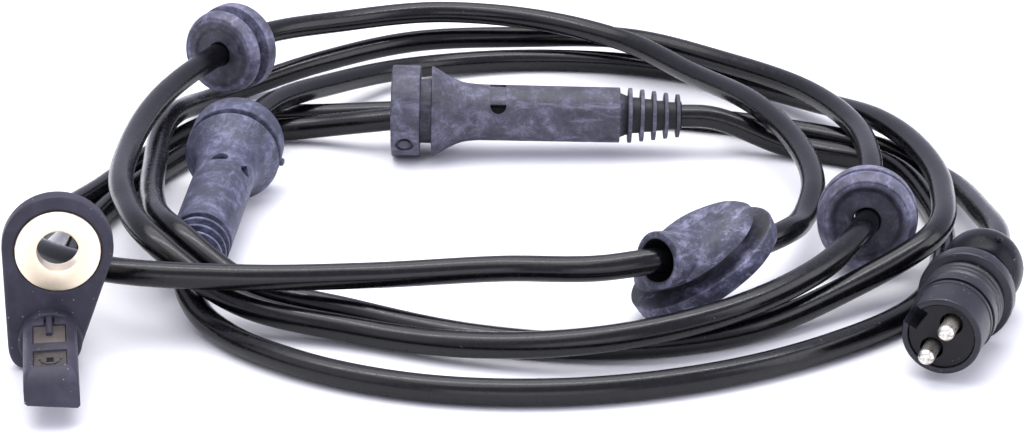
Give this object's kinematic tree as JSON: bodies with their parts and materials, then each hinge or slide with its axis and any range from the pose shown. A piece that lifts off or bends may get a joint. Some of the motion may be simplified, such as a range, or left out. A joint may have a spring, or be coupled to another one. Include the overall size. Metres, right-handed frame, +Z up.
{
  "type": "wheel speed sensor",
  "caption": "Bolt-on wheel speed sensor: a flanged plastic head with a metal bush, a long coiled cable with rubber grommets, and a round two-pin connector.",
  "frame": {"origin": "under the middle of the sensor head, on the table that the part lies on", "axes": "+Z up from the table, -Y the way the sensor's nose points, +X to the side that the cable's coil lies on"},
  "size_m": [0.2045, 0.2078, 0.0351],
  "materials": {
    "housing": "satin",
    "bush": "brushed",
    "carrier": "matte",
    "chip": "satin",
    "magnet": "satin",
    "copper": "satin",
    "white_wire": "satin",
    "black_wire": "satin",
    "cable": "glossy",
    "pale_rubber": "matte",
    "dark_rubber": "matte",
    "shell": "satin",
    "seal": "satin",
    "tin": "satin"
  },
  "bodies": {
    "root": {"sensor_housing": "housing", "mounting_bush": "bush", "sensor_carrier": "carrier", "sensing_chip": "chip", "bias_magnet": "magnet", "signal_lead_left": "copper", "signal_lead_right": "copper", "wire_core_left": "white_wire", "wire_core_right": "black_wire", "cable_gland": "seal", "cable": "cable", "round_grommet_left": "dark_rubber", "round_grommet_right": "dark_rubber", "barrel_grommet_left": "pale_rubber", "barrel_grommet_back": "dark_rubber", "slanted_grommet": "pale_rubber", "connector_shell": "shell", "connector_seal": "seal", "connector_boot": "shell", "pin_insulator": "shell", "contact_pin_upper": "tin", "contact_pin_lower": "tin", "connector_wire_upper": "white_wire", "connector_wire_lower": "black_wire"}
  },
  "joints": []
}
